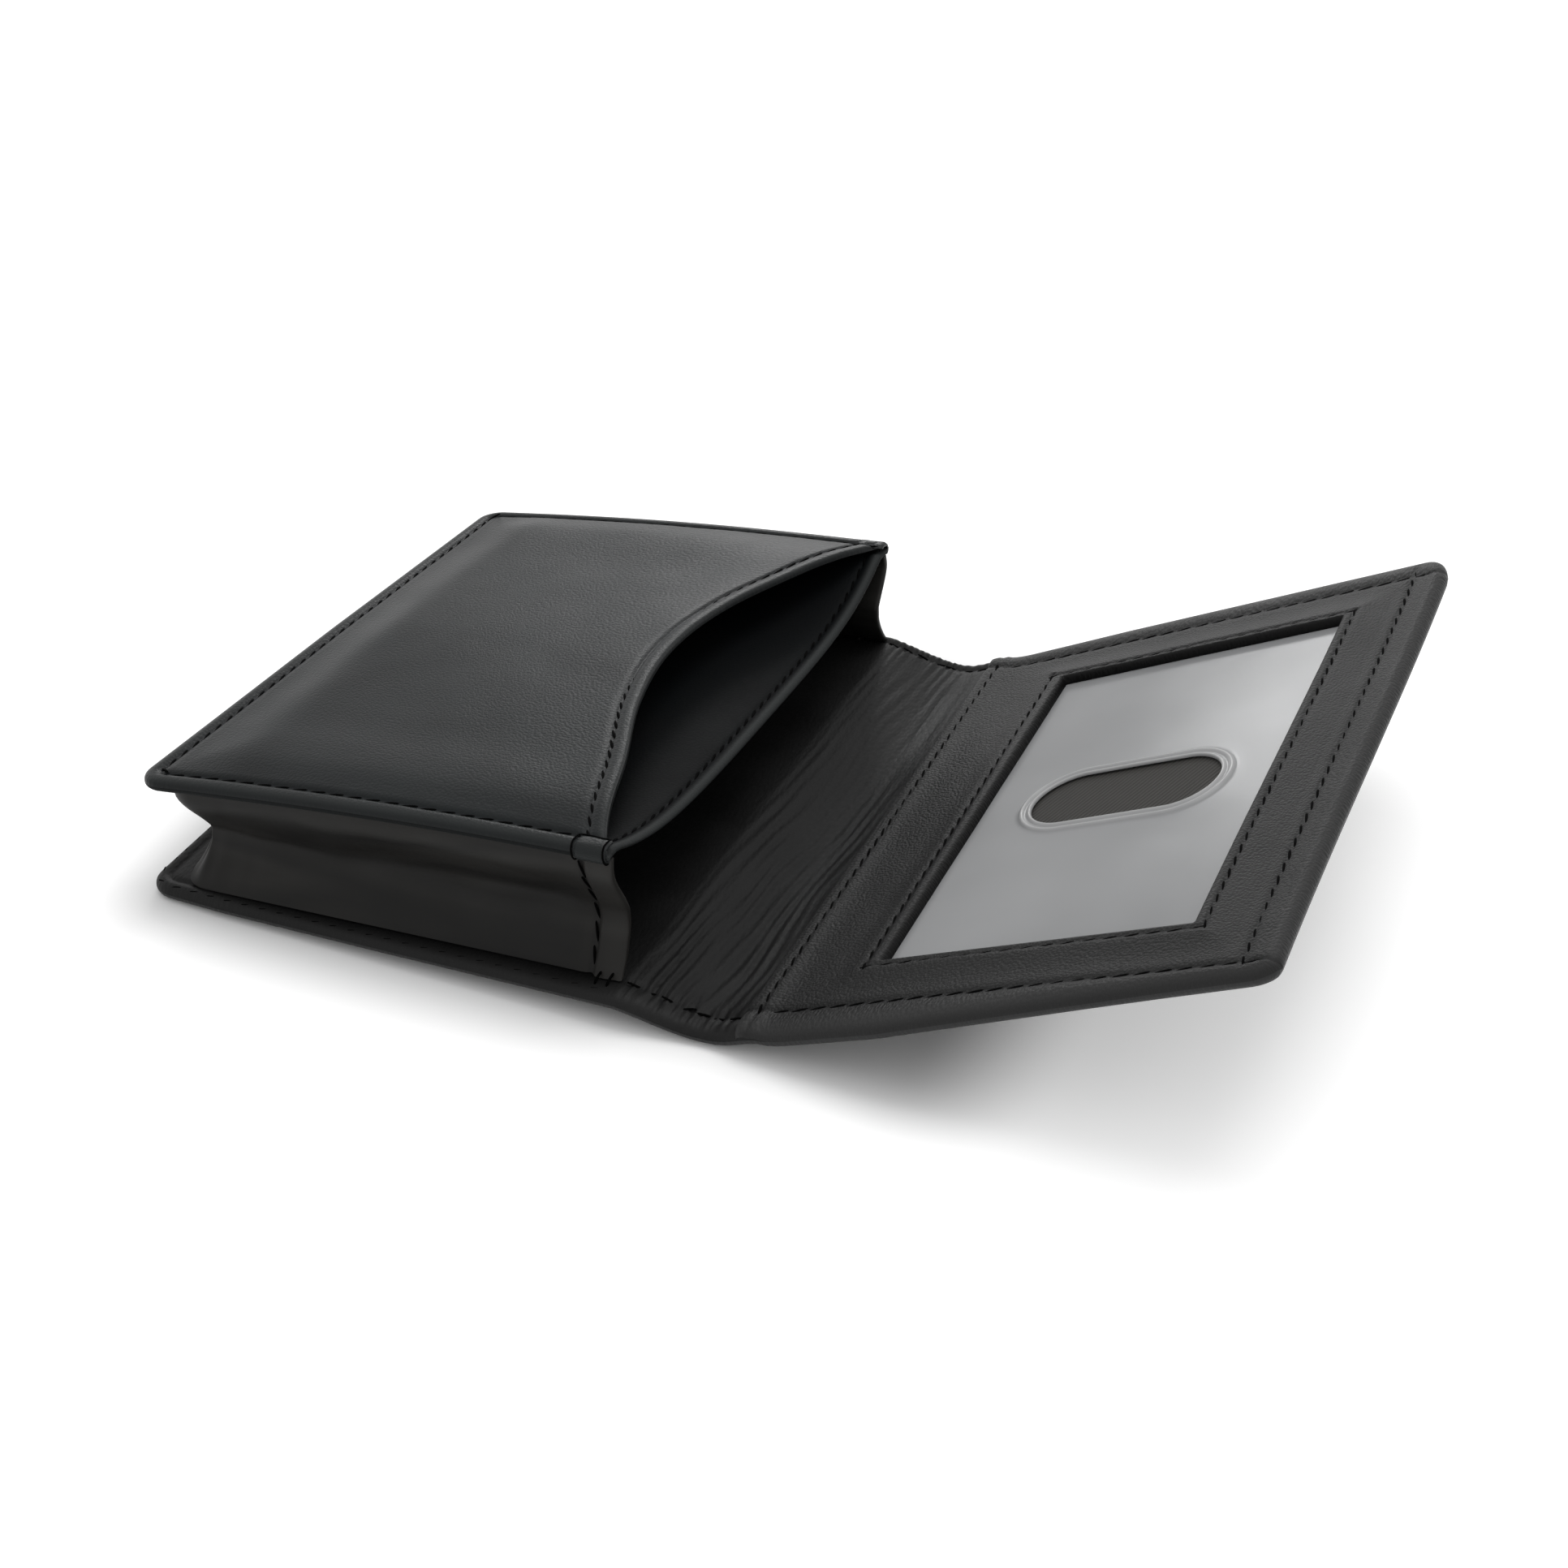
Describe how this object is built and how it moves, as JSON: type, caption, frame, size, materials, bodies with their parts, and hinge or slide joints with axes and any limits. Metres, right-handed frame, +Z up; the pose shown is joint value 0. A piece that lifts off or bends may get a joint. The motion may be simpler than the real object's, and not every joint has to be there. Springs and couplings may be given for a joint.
{
  "type": "card case",
  "caption": "Folding leather card and ID case: a gusseted card pocket with a curved mouth, a soft spine and a cover flap with a clear ID window and thumb slot.",
  "frame": {"origin": "under the middle of the open case, on the table", "axes": "+X from the pocket's closed end across the spine to the flap's free edge, +Y along the spine, +Z up"},
  "size_m": [0.1688, 0.108, 0.0355],
  "materials": {
    "cover_leather": "fine grain, satin",
    "panel_leather": "fine grain, soft sheen",
    "gusset_leather": "thin, matt",
    "spine_leather": "thin, wrinkled, satin",
    "lining_cloth": "matt woven",
    "twill": "matt twill",
    "board": "fibre board",
    "clear_film": "clear, slightly hazy, glossy",
    "thread": "twisted thread"
  },
  "bodies": {
    "pocket_back": {"back_cover": "cover_leather", "back_board": "board", "back_lining": "panel_leather", "gusset": "gusset_leather", "gusset_hems": "gusset_leather", "lower_bar_tacks": "thread"},
    "pocket_front": {"divider_panel": "panel_leather", "divider_lining": "lining_cloth", "front_lining": "lining_cloth", "front_panel": "panel_leather", "front_seam_thread": "thread", "front_mouth_thread": "thread", "divider_mouth_thread": "thread", "upper_bar_tacks": "thread"},
    "spine": {"spine_cover": "cover_leather", "spine_lining": "spine_leather", "spine_edge_threads": "thread"},
    "flap": {"flap_cover": "cover_leather", "flap_board": "board", "flap_lining": "twill", "window_sheet": "clear_film", "id_panel": "panel_leather", "window_thread": "thread", "flap_seam_thread": "thread", "id_mouth_thread": "thread"}
  },
  "joints": [
    {"name": "bellows", "type": "slide", "parent": "pocket_back", "child": "pocket_front", "axis": [-0.0349, 0, 0.9994], "range_m": [-0.01, 0], "deforming": ["gusset", "gusset_hems"]},
    {"name": "spine_fold", "type": "hinge", "parent": "pocket_back", "child": "spine", "pos_m": [-0.00744, 0, 0.00496], "axis": [0, -1, 0], "range_deg": [0, 90]},
    {"name": "flap_fold", "type": "hinge", "parent": "spine", "child": "flap", "pos_m": [0.01356, 0, 0.00496], "axis": [0, -1, 0], "range_deg": [-23.7, 71.4]}
  ]
}
